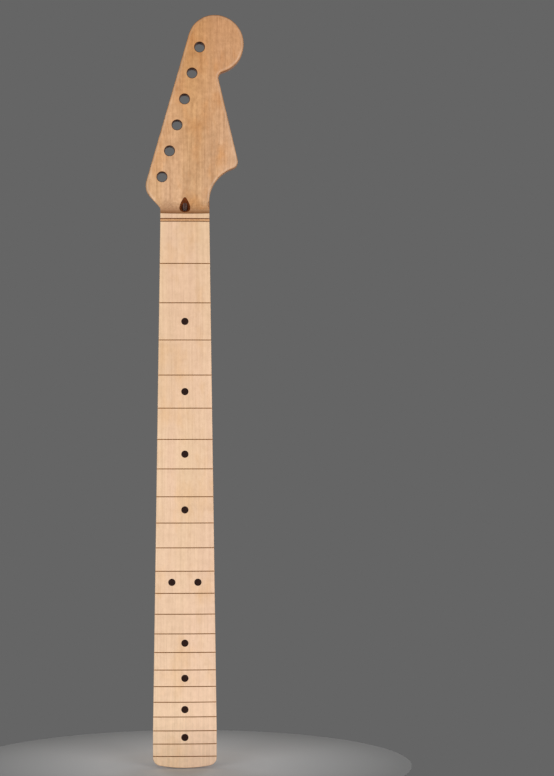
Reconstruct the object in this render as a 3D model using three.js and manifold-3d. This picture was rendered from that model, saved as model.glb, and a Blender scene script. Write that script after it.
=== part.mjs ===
// Electric guitar neck for six in-line tuners, without frets, string nut or hardware. Millimetres.
// +Z runs along the neck to the headstock, the playing surface faces -Y, the bass side is at -X.
// The origin is the centre of the four screw holes, on the flat back of the heel.
import * as THREE from "three";
import { mergeVertices } from "three/addons/utils/BufferGeometryUtils.js";
import Module from "manifold-3d";

const wasm = await Module();
wasm.setup();

// Lengths along the neck. The frets are measured from the board's side of the nut slot.
const scaleLength = 647.7;
const fretCount = 22;
const fretsPerOctave = 12;
const lastFretToHeelEnd = 3.96;
const parallelSidesLength = 24.9;
const boardOverhang = 6.1;
const boardPastNut = 7;

// Widths, and the rounding of the heel seen from the front.
const nutWidth = 42.86;
const heelWidth = 55.56;
const heelEndRadius = 120;
const heelCornerRadius = 7;

// Thicknesses, from the crown of the board to the back.
const blankThickness = 25.4;
const boardThickness = 6.35;
const glueLine = 0.1;
const firstFretThickness = 21;
const twelfthFretThickness = 23;
const headstockThickness = 14.3;

// The carved back: how full its section is, and the sweeps that rise to the headstock and the heel.
const sideBand = 0.15;
const shaftFullness = 2.15;
const headFullness = 1.6;
const headSweepRadius = 80;
const headSweepFromNut = 23.2;
const headSweepRun = 58.5;
const heelSweepRadius = 60;
const heelSweepToEnd = 113.9;
const heelSweepRun = 38;
const heelFlareShare = 0.35;
const bassFlareShare = 1.3;
const bassFlareFromNut = 8;
const trebleFlareShare = 0.72;
const trebleFlareFromNut = 18;

// The playing surface and what is cut into it.
const crownRadiusAtNut = 254;
const crownRadiusAtHeel = 406.4;
const fretSlotWidth = 0.6;
const fretSlotDepth = 3;
const nutSlotWidth = 3.2;
const nutSlotDepth = 2.8;

// Position dots in the face and along the bass edge of the board.
const dotFrets = [3, 5, 7, 9, 12, 15, 17, 19, 21];
const dotHoleDiameter = 6.35;
const dotThickness = 2;
const octaveDotSpacing = 22.7;
const sideDotHoleDiameter = 2.2;
const sideDotLength = 4;
const sideDotBelowCrown = 3.6;
const octaveSideDotSpacing = 6.5;
const inlayGap = 0.25;

// Headstock outline: across is from the centre line, along is from the nut.
const ballRadius = 25.4;
const ballAcross = 26.1;
const ballAlong = 157;
const shoulderRadius = 23.5;
const tunerEdgeAngle = THREE.MathUtils.degToRad(16.1);
const tunerEdgeAcrossAtNut = 44.3;
const bassCornerRadius = 14;
const bassSlopeAngle = THREE.MathUtils.degToRad(42.2);
const bassSlopeAlong = 12.9;
const bassFootRadius = 5;
const hollowRadius = 30.6;
const hollowAlong = 18.7;
const wingEdgeAngle = THREE.MathUtils.degToRad(13.4);
const wingEdgeAcrossAtNut = 59.5;
const wingTipRadius = 6.5;
const throatRadius = 5.4;
const faceScoopRadius = 17;

// Holes in the headstock and the heel.
const tunerCount = 6;
const tunerHoleDiameter = 8.73;
const tunerSpacing = 23.7;
const tunerInset = 12.2;
const firstTunerAlong = 40.1;
const screwSpanAcross = 38.1;
const screwSpanAlong = 50.8;
const heelEndToScrews = 17.5;
const screwHoleDiameter = 3.2;
const screwHoleDepth = 16;

// The adjuster lies on a slanted axis that crosses the nut line below the crown.
const accessSlant = THREE.MathUtils.degToRad(7.5);
const accessBelowCrown = 9.2;
const seatGap = 0.3;
const plugDiameter = 9.5;
const plugBore = 6.35;
const adjusterPastPlug = 0.8;
const adjusterDiameter = 7.9;
const adjusterLength = 12;
const socketAcrossFlats = 4.76;
const socketDepth = 5;
const threadGap = 0.1;
const washerDiameter = 9.2;
const washerThickness = 1.6;

// The rod bows towards the back between the adjuster and the anchor.
const rodDiameter = 4.76;
const rodStraightRun = 20;
const rodBowRun = 45;
const rodBowBelowCrown = 17;
const rodRiseRun = 110;
const anchorDiameter = 9.5;
const anchorLength = 16.4;
const anchorToHeelEnd = 65.9;
const anchorRodBelowCrown = 12.4;
const rodPastAnchor = 3;
const channelWidth = 6.35;
const nutToChannel = 41.2;

// Every cutting tool reaches this far past the wood that it cuts.
const overrun = 2;

const fretDistance = (fret) => scaleLength * (1 - 2 ** (-fret / fretsPerOctave));
const nutToHeelEnd = fretDistance(fretCount) + lastFretToHeelEnd;
const nutToParallelSides = nutToHeelEnd - parallelSidesLength;
const nutToHeelSweep = nutToHeelEnd - heelSweepToEnd;
const nutToAnchor = nutToHeelEnd - anchorToHeelEnd;
const nutZ = nutToHeelEnd - heelEndToScrews - screwSpanAlong / 2;
const crownY = -blankThickness;
const glueY = crownY + boardThickness;
const faceY = -headstockThickness;
const nutHalf = nutWidth / 2;
const heelHalf = heelWidth / 2;
const headTipZ = nutZ + ballAlong + ballRadius;
const headReach = ballAcross + ballRadius + overrun;

const halfWidthAt = (distance) =>
  THREE.MathUtils.lerp(nutHalf, heelHalf, THREE.MathUtils.clamp(distance / nutToParallelSides, 0, 1));
const spaceMiddleZ = (fret) => nutZ - (fretDistance(fret - 1) + fretDistance(fret)) / 2;

// A closed geometry as a solid that can be joined and cut.
function solidOf(geometry) {
  const bare = geometry.clone();
  bare.deleteAttribute("normal");
  bare.deleteAttribute("uv");
  const merged = mergeVertices(bare);
  const vertProperties = merged.attributes.position.array;
  return new wasm.Manifold(
    new wasm.Mesh({ numProp: 3, vertProperties, triVerts: new Uint32Array(merged.index.array) }),
  );
}

// A named mesh of a finished solid.
function meshOf(name, solid, material) {
  const { vertProperties, triVerts } = solid.getMesh();
  const geometry = new THREE.BufferGeometry();
  geometry.setAttribute("position", new THREE.BufferAttribute(vertProperties, 3));
  geometry.setIndex(new THREE.BufferAttribute(triVerts, 1));
  geometry.computeVertexNormals();
  const mesh = new THREE.Mesh(geometry, material);
  mesh.name = name;
  return mesh;
}

// Material under an outline seen from the front, between two depths.
function planPrism(outline, backY, frontY, curveSegments = 10) {
  const settings = { depth: backY - frontY, bevelEnabled: false, curveSegments };
  const geometry = new THREE.ExtrudeGeometry(outline, settings);
  const turn = new THREE.Matrix4().makeBasis(
    new THREE.Vector3(1, 0, 0),
    new THREE.Vector3(0, 0, 1),
    new THREE.Vector3(0, -1, 0),
  );
  return solidOf(geometry.applyMatrix4(turn).translate(0, backY, 0));
}

// Material under a side profile, drawn as (y, z), across a width centred on the neck.
function sidePrism(profile, width, curveSegments = 10) {
  const geometry = new THREE.ExtrudeGeometry(profile, { depth: width, bevelEnabled: false, curveSegments });
  const turn = new THREE.Matrix4().makeBasis(
    new THREE.Vector3(0, 1, 0),
    new THREE.Vector3(0, 0, 1),
    new THREE.Vector3(1, 0, 0),
  );
  return solidOf(geometry.applyMatrix4(turn).translate(-width / 2, 0, 0));
}

function block(low, high) {
  const size = high.clone().sub(low);
  const middle = low.clone().add(high).divideScalar(2);
  return solidOf(new THREE.BoxGeometry(size.x, size.y, size.z).translate(middle.x, middle.y, middle.z));
}

// A round or hexagonal bar between two points.
function bar(from, to, diameter, sides = 24) {
  const span = to.clone().sub(from);
  const geometry = new THREE.CylinderGeometry(diameter / 2, diameter / 2, span.length(), sides);
  const turn = new THREE.Quaternion().setFromUnitVectors(new THREE.Vector3(0, 1, 0), span.normalize());
  const middle = from.clone().add(to).divideScalar(2);
  return solidOf(geometry.applyQuaternion(turn).translate(middle.x, middle.y, middle.z));
}

// A solid through closed convex rings of equal length, each in its own plane across the neck.
function loft(rings) {
  const count = rings[0].length;
  const last = (rings.length - 1) * count;
  const index = [];
  for (let ring = 0; ring < last; ring += count) {
    for (let i = 0; i < count; i++) {
      const next = (i + 1) % count;
      index.push(ring + i, ring + next, ring + count + i);
      index.push(ring + next, ring + count + next, ring + count + i);
    }
  }
  for (let i = 1; i < count - 1; i++) {
    index.push(0, i + 1, i);
    index.push(last, last + i, last + i + 1);
  }
  const geometry = new THREE.BufferGeometry().setFromPoints(rings.flat());
  return solidOf(geometry.setIndex(index));
}

// A straight line seen from the front, and the centre of a circle that touches it and another circle.
function edgeLine(across, angle) {
  const along = new THREE.Vector2(Math.sin(angle), Math.cos(angle));
  return { point: new THREE.Vector2(across, nutZ), along, right: new THREE.Vector2(along.y, -along.x) };
}

function centreBeside(line, offset, hub, reach, side) {
  const start = line.point.clone().addScaledVector(line.right, offset);
  const toHub = hub.clone().sub(start);
  const near = toHub.dot(line.along);
  const away = toHub.dot(line.right);
  return start.addScaledVector(line.along, near + side * Math.sqrt(reach ** 2 - away ** 2));
}

const angleTo = (centre, point) => Math.atan2(point.y - centre.y, point.x - centre.x);
const touchPoint = (line, centre) =>
  line.point.clone().addScaledVector(line.along, centre.clone().sub(line.point).dot(line.along));

// The whole neck seen from the front, as x and z, with its heel end a given distance from the nut.
function neckOutline(endDistance) {
  const shape = new THREE.Shape();
  const endCentreZ = nutZ - endDistance + heelEndRadius;
  const cornerX = heelHalf - heelCornerRadius;
  const cornerDrop = Math.sqrt((heelEndRadius - heelCornerRadius) ** 2 - cornerX ** 2);
  const endAngle = Math.atan2(-cornerDrop, cornerX);
  const bassEndAngle = -Math.PI - endAngle;
  shape.absarc(-cornerX, endCentreZ - cornerDrop, heelCornerRadius, -Math.PI, bassEndAngle, false);
  shape.absarc(0, endCentreZ, heelEndRadius, bassEndAngle, endAngle, false);
  shape.absarc(cornerX, endCentreZ - cornerDrop, heelCornerRadius, endAngle, 0, false);
  shape.lineTo(heelHalf, nutZ - nutToParallelSides);
  shape.lineTo(nutHalf, nutZ);
  addTrebleWing(shape);
  addBallAndTunerEdge(shape);
  shape.lineTo(-nutHalf, nutZ);
  shape.lineTo(-heelHalf, nutZ - nutToParallelSides);
  shape.closePath();
  return shape;
}

const tunerEdge = () => edgeLine(-tunerEdgeAcrossAtNut, tunerEdgeAngle);
const wingEdge = () => edgeLine(wingEdgeAcrossAtNut, -wingEdgeAngle);

// The centres of the ball at the headstock's end, the throat under it and the shoulder over it.
function ballCentres() {
  const ball = new THREE.Vector2(ballAcross, nutZ + ballAlong);
  const throat = centreBeside(wingEdge(), throatRadius, ball, ballRadius + throatRadius, -1);
  const shoulder = centreBeside(tunerEdge(), shoulderRadius, ball, ballRadius - shoulderRadius, 1);
  return { ball, throat, shoulder };
}

// The hollow below the treble wing, the wing's tip and the throat.
function addTrebleWing(shape) {
  const { ball, throat } = ballCentres();
  const hollow = new THREE.Vector2(nutHalf + hollowRadius, nutZ + hollowAlong);
  const tip = centreBeside(wingEdge(), -wingTipRadius, hollow, hollowRadius + wingTipRadius, 1);
  const tipEnd = angleTo(tip, touchPoint(wingEdge(), tip));
  const throatStart = angleTo(throat, touchPoint(wingEdge(), throat));
  shape.absarc(hollow.x, hollow.y, hollowRadius, Math.PI, angleTo(hollow, tip), true);
  shape.absarc(tip.x, tip.y, wingTipRadius, angleTo(tip, hollow), tipEnd, false);
  shape.absarc(throat.x, throat.y, throatRadius, throatStart, angleTo(throat, ball), true);
}

// The ball, the shoulder over it, the straight edge beside the tuners and the bass corner.
function addBallAndTunerEdge(shape) {
  const { ball, throat, shoulder } = ballCentres();
  const edge = tunerEdge();
  const shoulderStart = angleTo(ball, shoulder);
  const slope = edgeLine(0, Math.PI - bassSlopeAngle);
  slope.point.set(-nutHalf, nutZ + bassSlopeAlong);
  const corner = cornerCentre(edge, slope, bassCornerRadius);
  const side = edgeLine(-nutHalf, Math.PI);
  const foot = cornerCentre(slope, side, -bassFootRadius);
  shape.absarc(ball.x, ball.y, ballRadius, angleTo(ball, throat), shoulderStart, false);
  shape.absarc(shoulder.x, shoulder.y, shoulderRadius, shoulderStart,
    angleTo(shoulder, touchPoint(edge, shoulder)), false);
  shape.absarc(corner.x, corner.y, bassCornerRadius, angleTo(corner, touchPoint(edge, corner)),
    angleTo(corner, touchPoint(slope, corner)), false);
  shape.absarc(foot.x, foot.y, bassFootRadius, angleTo(foot, touchPoint(slope, foot)),
    angleTo(foot, touchPoint(side, foot)), true);
}

// The centre of a circle that touches an upward line on its right and a downward line on its left.
function cornerCentre(first, second, radius) {
  const a = first.point.clone().addScaledVector(first.right, upward(first) * radius);
  const b = second.point.clone().addScaledVector(second.right, upward(second) * radius);
  const gap = b.sub(a);
  return a.addScaledVector(first.along, gap.cross(second.along) / first.along.cross(second.along));
}

const upward = (line) => Math.sign(line.along.y);

// How far back the crest of the carved back lies at a distance from the nut.
function crestY(distance) {
  const first = fretDistance(1);
  const share = (distance - first) / (fretDistance(fretsPerOctave) - first);
  const thickness = THREE.MathUtils.lerp(firstFretThickness, twelfthFretThickness, share);
  return crownY + thickness + headRise(distance) + heelRise(distance);
}

const sweepRise = (radius, run) => radius - Math.sqrt(radius ** 2 - Math.max(0, run) ** 2);
const headRise = (distance) => sweepRise(headSweepRadius, headSweepFromNut - distance);
const heelRise = (distance) => sweepRise(heelSweepRadius, distance - nutToHeelSweep);

// One section of the carved back: a rounded hump that widens into the headstock and the heel.
function backRing(distance) {
  const sides = 28;
  const plain = halfWidthAt(distance) + sideBand + heelFlareShare * Math.max(0, distance - nutToHeelSweep);
  const treble = plain + trebleFlareShare * Math.max(0, -distance - trebleFlareFromNut);
  const bass = plain + bassFlareShare * Math.max(0, -distance - bassFlareFromNut);
  const headShare = THREE.MathUtils.smoothstep(-distance, -headSweepFromNut, 0);
  const power = 2 / THREE.MathUtils.lerp(shaftFullness, headFullness, headShare);
  const height = crestY(distance) - glueY;
  const ring = [];
  for (let i = 0; i <= sides; i++) {
    const angle = (Math.PI * i) / sides;
    const reach = Math.cos(angle);
    const x = Math.sign(reach) * Math.abs(reach) ** power * (reach > 0 ? treble : bass);
    ring.push(new THREE.Vector3(x, glueY + height * Math.sin(angle) ** power, nutZ - distance));
  }
  ring.push(new THREE.Vector3(-bass, glueY - overrun, nutZ - distance));
  ring.push(new THREE.Vector3(treble, glueY - overrun, nutZ - distance));
  return ring;
}

// Distances of the carved sections, close together where the back sweeps.
function backStations() {
  const headSteps = 22;
  const shaftSteps = 10;
  const heelSteps = 14;
  const headEnd = headSweepFromNut - headSweepRun;
  const steps = (from, to, count) =>
    Array.from({ length: count }, (_, i) => from + ((to - from) * i) / count);
  return [
    ...steps(nutToHeelSweep + heelSweepRun, nutToHeelSweep, heelSteps),
    ...steps(nutToHeelSweep, headSweepFromNut, shaftSteps),
    ...steps(headSweepFromNut, headEnd, headSteps),
    headEnd,
  ];
}

// The carved neck before anything is drilled: the outline cut from a flat blank, less the carved back.
function carvedBlank() {
  const stations = backStations();
  const heelTop = nutZ - stations[0] + overrun;
  const headFoot = nutZ - stations.at(-1) - overrun;
  const low = new THREE.Vector3(-headReach, glueY - overrun, -nutToHeelEnd);
  const back = loft(stations.map(backRing))
    .add(block(low, new THREE.Vector3(headReach, overrun, heelTop)))
    .add(block(low.clone().setZ(headFoot), new THREE.Vector3(headReach, overrun, headTipZ + overrun)));
  return planPrism(neckOutline(nutToHeelEnd), 0, glueY).intersect(back).subtract(faceCutter());
}

// Everything in front of the headstock face and of the curved slope that leads to it.
function faceCutter() {
  const drop = faceY - crownY;
  const run = Math.sqrt(faceScoopRadius ** 2 - (faceScoopRadius - drop) ** 2);
  const centreZ = nutZ + boardPastNut + run;
  const centreY = faceY - faceScoopRadius;
  const profile = new THREE.Shape();
  profile.moveTo(crownY - overrun, headTipZ + overrun);
  profile.lineTo(crownY - overrun, nutZ + boardPastNut);
  profile.absarc(centreY, centreZ, faceScoopRadius, Math.atan2(-run, faceScoopRadius - drop), 0, false);
  profile.lineTo(faceY, headTipZ + overrun);
  return sidePrism(profile, 2 * headReach, 12);
}

// A point on the slanted axis of the adjuster, a distance towards the heel from the nut line.
function accessPoint(run) {
  const below = accessBelowCrown + run * Math.sin(accessSlant);
  return new THREE.Vector3(0, crownY + below, nutZ - run * Math.cos(accessSlant));
}

const adjusterEnd = adjusterPastPlug + adjusterLength;
const washerStart = adjusterEnd + seatGap;
const seatRun = washerStart + washerThickness + seatGap;
const rodStart = adjusterPastPlug + socketDepth + seatGap;
const accessMouth = -(boardPastNut + 2 * faceScoopRadius);

// The middle line of the rod.
function rodPath() {
  const bend = accessPoint(rodStart + rodStraightRun);
  const bowRun = bend.clone().sub(accessPoint(rodStart)).setLength(rodBowRun);
  const anchor = new THREE.Vector3(0, crownY + anchorRodBelowCrown, nutZ - nutToAnchor - rodPastAnchor);
  const deep = new THREE.Vector3(0, crownY + rodBowBelowCrown, anchor.z + rodRiseRun);
  const path = new THREE.CurvePath();
  path.add(new THREE.LineCurve3(accessPoint(rodStart), bend));
  path.add(new THREE.CubicBezierCurve3(bend, bend.clone().add(bowRun), deep, anchor));
  return path;
}

// A bar of a given radius along the rod's middle line.
function alongRod(radius) {
  const section = new THREE.Shape().absarc(0, 0, radius, 0, 2 * Math.PI);
  const settings = { steps: 50, extrudePath: rodPath(), curveSegments: 6, bevelEnabled: false };
  return solidOf(new THREE.ExtrudeGeometry(section, settings));
}

// The rear channel, or with an inset and a cover over the rod, the fillet that fills it.
function channelFill(inset, cover) {
  const half = channelWidth / 2 - inset;
  const topZ = nutZ - nutToChannel - channelWidth / 2;
  const anchorZ = nutZ - nutToAnchor;
  const plan = new THREE.Shape();
  plan.moveTo(-half, anchorZ);
  plan.lineTo(half, anchorZ);
  plan.absarc(0, topZ, half, 0, Math.PI, false);
  const profile = new THREE.Shape();
  rodPath().getSpacedPoints(50).forEach((point, i) => {
    if (i === 0) profile.moveTo(point.y + cover, point.z);
    else profile.lineTo(point.y + cover, point.z);
  });
  profile.lineTo(overrun, anchorZ - rodPastAnchor);
  profile.lineTo(overrun, nutZ);
  return planPrism(plan, overrun, glueY).intersect(sidePrism(profile, channelWidth));
}

function anchorBar(diameter, frontY, backY) {
  const z = nutZ - nutToAnchor;
  return bar(new THREE.Vector3(0, frontY, z), new THREE.Vector3(0, backY, z), diameter, 32);
}

const anchorFront = -seatGap - anchorLength;
const anchorPocket = (grow) => anchorBar(anchorDiameter + 2 * grow, anchorFront - seatGap, overrun);

function tunerHoles() {
  const edge = tunerEdge();
  const first = edge.point.clone().addScaledVector(edge.right, tunerInset);
  const reach = (nutZ + firstTunerAlong - first.y) / edge.along.y;
  const holes = [];
  for (let i = 0; i < tunerCount; i++) {
    const spot = first.clone().addScaledVector(edge.along, reach + i * tunerSpacing);
    const front = new THREE.Vector3(spot.x, faceY - overrun, spot.y);
    holes.push(bar(front, front.clone().setY(overrun), tunerHoleDiameter, 32));
  }
  return holes;
}

function screwHoles() {
  const holes = [];
  for (const x of [-screwSpanAcross / 2, screwSpanAcross / 2]) {
    for (const z of [-screwSpanAlong / 2, screwSpanAlong / 2]) {
      const bottom = new THREE.Vector3(x, -screwHoleDepth, z);
      holes.push(bar(bottom, bottom.clone().setY(overrun), screwHoleDiameter, 16));
    }
  }
  return holes;
}

const accessHole = () =>
  bar(accessPoint(seatRun), accessPoint(accessMouth), plugDiameter + 2 * seatGap, 32);

function neckShaft(blank) {
  const tunnel = alongRod(rodDiameter / 2 + seatGap);
  const rodCuts = [accessHole(), tunnel, channelFill(0, 0), anchorPocket(seatGap)];
  return [...tunerHoles(), ...screwHoles(), ...rodCuts].reduce((wood, cut) => wood.subtract(cut), blank);
}

// The board's solid between the glue line and its crown, whose radius grows from the nut to the heel.
function crownedSlab() {
  const sides = 10;
  const reach = heelHalf + overrun;
  const ring = (distance) => {
    const radius = THREE.MathUtils.lerp(crownRadiusAtNut, crownRadiusAtHeel, distance / nutToHeelEnd);
    const points = [];
    for (let i = 0; i <= sides; i++) {
      const x = reach * (1 - (2 * i) / sides);
      points.push(new THREE.Vector3(x, crownY + sweepRise(radius, Math.abs(x)), nutZ - distance));
    }
    points.push(new THREE.Vector3(-reach, glueY - glueLine, nutZ - distance));
    points.push(new THREE.Vector3(reach, glueY - glueLine, nutZ - distance));
    return points.reverse();
  };
  return loft([ring(nutToHeelEnd + boardOverhang + overrun), ring(-boardPastNut - faceScoopRadius)]);
}

function boardBlank() {
  const plan = planPrism(neckOutline(nutToHeelEnd + boardOverhang), glueY, crownY - overrun);
  return crownedSlab().intersect(plan).subtract(faceCutter());
}

// A saw cut straight across the board, from one distance to another and down from the crown.
function crossSlot(from, to, depth) {
  const low = new THREE.Vector3(-headReach, crownY - overrun, nutZ - Math.max(from, to));
  return block(low, new THREE.Vector3(headReach, crownY + depth, nutZ - Math.min(from, to)));
}

// Where each face dot sits, with the name that it carries.
function faceDotSpots() {
  const spots = [];
  for (const fret of dotFrets) {
    const z = spaceMiddleZ(fret);
    if (fret % fretsPerOctave) spots.push({ name: `dot_${fret}`, x: 0, z });
    else {
      spots.push({ name: `dot_${fret}_bass`, x: -octaveDotSpacing / 2, z });
      spots.push({ name: `dot_${fret}_treble`, x: octaveDotSpacing / 2, z });
    }
  }
  return spots;
}

function sideDotSpots() {
  const spots = [];
  for (const fret of dotFrets) {
    const z = spaceMiddleZ(fret);
    if (fret % fretsPerOctave) spots.push({ name: `side_dot_${fret}`, z });
    else {
      spots.push({ name: `side_dot_${fret}_upper`, z: z + octaveSideDotSpacing / 2 });
      spots.push({ name: `side_dot_${fret}_lower`, z: z - octaveSideDotSpacing / 2 });
    }
  }
  return spots;
}

function faceDotBar(spot, gap) {
  const front = new THREE.Vector3(spot.x, crownY - overrun, spot.z);
  const bottom = front.clone().setY(crownY + dotThickness + gap);
  return bar(bottom, front, dotHoleDiameter - 2 * (inlayGap - gap), 20);
}

function sideDotBar(spot, gap) {
  const edgeX = -halfWidthAt(nutZ - spot.z);
  const outside = new THREE.Vector3(edgeX - overrun, crownY + sideDotBelowCrown, spot.z);
  const bottom = outside.clone().setX(edgeX + sideDotLength + gap);
  return bar(outside, bottom, sideDotHoleDiameter - 2 * (inlayGap - gap), 12);
}

function fretboard(blank) {
  const cuts = [accessHole(), crossSlot(-nutSlotWidth, 0, nutSlotDepth)];
  for (let fret = 1; fret <= fretCount; fret++) {
    const middle = fretDistance(fret);
    cuts.push(crossSlot(middle - fretSlotWidth / 2, middle + fretSlotWidth / 2, fretSlotDepth));
  }
  for (const spot of faceDotSpots()) cuts.push(faceDotBar(spot, inlayGap));
  for (const spot of sideDotSpots()) cuts.push(sideDotBar(spot, inlayGap));
  return cuts.reduce((wood, cut) => wood.subtract(cut), blank);
}

function skunkStripe(blank) {
  const fill = channelFill(seatGap, rodDiameter / 2 + seatGap);
  return blank.intersect(fill).subtract(anchorPocket(2 * seatGap));
}

function plug() {
  const body = bar(accessPoint(0), accessPoint(accessMouth), plugDiameter, 32);
  const bore = bar(accessPoint(overrun), accessPoint(accessMouth - overrun), plugBore, 24);
  return body.subtract(bore).subtract(faceCutter());
}

function adjuster() {
  const start = accessPoint(adjusterPastPlug);
  const body = bar(start, accessPoint(adjusterEnd), adjusterDiameter);
  const hexDiameter = socketAcrossFlats / Math.cos(Math.PI / 6);
  const socket = bar(accessPoint(-overrun), accessPoint(adjusterPastPlug + socketDepth), hexDiameter, 6);
  const threadStart = accessPoint(rodStart - 2 * seatGap);
  const thread = bar(threadStart, accessPoint(adjusterEnd + overrun), rodDiameter + 2 * threadGap, 16);
  return body.subtract(socket).subtract(thread);
}

function washer() {
  const back = accessPoint(washerStart + washerThickness);
  const body = bar(accessPoint(washerStart), back, washerDiameter, 32);
  return body.subtract(bar(accessPoint(0), accessPoint(seatRun), rodDiameter + 2 * seatGap, 16));
}

function anchor() {
  const crossHole = alongRod(rodDiameter / 2 + threadGap);
  return anchorBar(anchorDiameter, anchorFront, -seatGap).subtract(crossHole);
}

function paint(color, roughness, metalness = 0) {
  return new THREE.MeshStandardMaterial({ color, roughness, metalness });
}

const shaftMaple = paint(0xd8b086, 0.5);
const boardMaple = paint(0xeccaaa, 0.45);
const walnut = paint(0x875a3c, 0.55);
const darkWalnut = paint(0x50281a, 0.6);
const steel = paint(0x8d8a86, 0.35, 1);
const dotBlack = paint(0x2d1a16, 0.4);

const blank = carvedBlank();
const board = boardBlank();
const neck = new THREE.Group();
neck.add(meshOf("neck_shaft", neckShaft(blank), shaftMaple));
neck.add(meshOf("fretboard", fretboard(board), boardMaple));
neck.add(meshOf("skunk_stripe", skunkStripe(blank), walnut));
neck.add(meshOf("truss_rod_plug", plug(), darkWalnut));
neck.add(meshOf("truss_rod_nut", adjuster(), steel));
neck.add(meshOf("truss_rod_washer", washer(), steel));
neck.add(meshOf("truss_rod", alongRod(rodDiameter / 2), steel));
neck.add(meshOf("truss_rod_anchor", anchor(), steel));
for (const spot of faceDotSpots()) {
  neck.add(meshOf(spot.name, faceDotBar(spot, 0).intersect(board), dotBlack));
}
for (const spot of sideDotSpots()) {
  neck.add(meshOf(spot.name, sideDotBar(spot, 0).intersect(board), dotBlack));
}

export default neck;
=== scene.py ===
"""Electric guitar neck without frets, string nut or tuners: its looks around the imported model.

Metres. Z runs along the neck to the headstock, the playing surface faces -Y and the bass side
is at -X. The origin is the centre of the four screw holes, on the flat back of the heel.
"""

import math

import bmesh
import bpy
from mathutils import Matrix, Vector
from mathutils.bvhtree import BVHTree


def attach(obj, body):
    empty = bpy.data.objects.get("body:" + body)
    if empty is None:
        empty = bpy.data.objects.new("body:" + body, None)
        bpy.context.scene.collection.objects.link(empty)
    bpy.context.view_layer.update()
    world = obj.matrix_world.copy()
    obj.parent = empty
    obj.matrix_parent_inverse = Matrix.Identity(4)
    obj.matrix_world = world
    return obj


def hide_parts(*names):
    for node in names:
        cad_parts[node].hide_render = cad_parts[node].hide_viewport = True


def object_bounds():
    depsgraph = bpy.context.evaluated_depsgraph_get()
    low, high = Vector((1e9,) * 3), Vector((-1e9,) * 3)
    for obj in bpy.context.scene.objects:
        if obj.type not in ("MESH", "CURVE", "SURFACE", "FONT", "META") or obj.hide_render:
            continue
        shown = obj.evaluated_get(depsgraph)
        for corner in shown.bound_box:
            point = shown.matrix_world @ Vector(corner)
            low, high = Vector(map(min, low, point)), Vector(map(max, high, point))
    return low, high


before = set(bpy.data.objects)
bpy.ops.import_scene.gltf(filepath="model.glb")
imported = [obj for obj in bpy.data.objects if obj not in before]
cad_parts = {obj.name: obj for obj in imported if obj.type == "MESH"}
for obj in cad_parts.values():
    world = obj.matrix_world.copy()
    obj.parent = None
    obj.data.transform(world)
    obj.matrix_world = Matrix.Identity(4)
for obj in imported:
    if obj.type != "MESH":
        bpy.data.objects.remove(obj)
cad_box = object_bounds()
mm = 0.001


# Neck shaft. One piece of maple with its headstock, sawn to its outline from a flat blank. The
# back is carved, the slope below the headstock face is sanded round a drum, the edges of the
# headstock are rounded over, and the holes are drilled.

scale_length = 647.7 * mm
fret_count = 22
frets_per_octave = 12
last_fret_to_heel_end = 3.96 * mm
heel_end_to_screws = 17.5 * mm
screw_span_across = 38.1 * mm
screw_span_along = 50.8 * mm


def fret_distance(fret):
    """How far a fret lies from the nut."""
    return scale_length * (1 - 2 ** (-fret / frets_per_octave))


nut_to_heel_end = fret_distance(fret_count) + last_fret_to_heel_end
nut_z = nut_to_heel_end - heel_end_to_screws - screw_span_along / 2
heel_end_z = nut_z - nut_to_heel_end

nut_half_width = 21.43 * mm
heel_half_width = 27.78 * mm
nut_to_parallel_sides = nut_to_heel_end - 24.9 * mm
crown_y = -25.4 * mm
glue_y = crown_y + 6.35 * mm
face_y = -14.3 * mm
board_past_nut = 7 * mm

heel_end_radius = 120 * mm
heel_corner_radius = 7 * mm
heel_corner_across = heel_half_width - heel_corner_radius
heel_corner_turn = math.acos(heel_corner_across / (heel_end_radius - heel_corner_radius))

# The headstock's straight edges and arcs: across from the middle, along from the nut.
tuner_edge_across, tuner_edge_tilt = -44.3 * mm, math.radians(16.1)
wing_edge_across, wing_edge_tilt = 59.5 * mm, math.radians(-13.4)
bass_slope_along, bass_slope_tilt = 12.9 * mm, math.radians(-42.2)
ball_across, ball_along, ball_radius = 26.1 * mm, 157 * mm, 25.4 * mm
hollow_along, hollow_radius = 18.7 * mm, 30.6 * mm
wing_tip_radius = 6.5 * mm
throat_radius = 5.4 * mm
shoulder_radius = 23.5 * mm
bass_corner_radius = 14 * mm
bass_foot_radius = 5 * mm
arc_step = math.radians(0.5)
wall_reach = 50 * mm
crease_angle = math.radians(32)
doubled_points = 0.0001 * mm


def edge_line(across, height, tilt):
    """A straight edge seen from the front: a point on it, the way up it and the way to its right."""
    up = Vector((math.sin(tilt), math.cos(tilt)))
    return Vector((across, height)), up, Vector((up.y, -up.x))


def centre_beside(line, offset, hub, reach, side):
    """The centre at one distance to the right of a line and at another from a hub."""
    point, up, right = line
    start = point + offset * right
    to_hub = hub - start
    return start + (to_hub.dot(up) + side * math.sqrt(reach**2 - to_hub.dot(right) ** 2)) * up


def centre_between(first, second, offset):
    """The centre at the same distance to the right of two lines."""
    start = first[0] + offset * first[2]
    gap = second[0] + offset * second[2] - start
    return start + gap.cross(second[1]) / first[1].cross(second[1]) * first[1]


def touch(line, centre):
    """Where a line touches the circle round a centre."""
    point, up, _ = line
    return point + (centre - point).dot(up) * up


def meet(centre, radius, other):
    """Where a circle meets the one that touches it, in line with both centres."""
    return centre + radius * (other - centre).normalized()


def arc(centre, start, end):
    """An arc of under half a turn, as its centre, its first point and its turn."""
    arms = start - centre, end - centre
    return centre, start, math.atan2(arms[0].cross(arms[1]), arms[0].dot(arms[1]))


def corner(across, height):
    """A corner of an outline: an arc without a radius or a turn."""
    point = Vector((across, height))
    return point, point, 0


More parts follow.
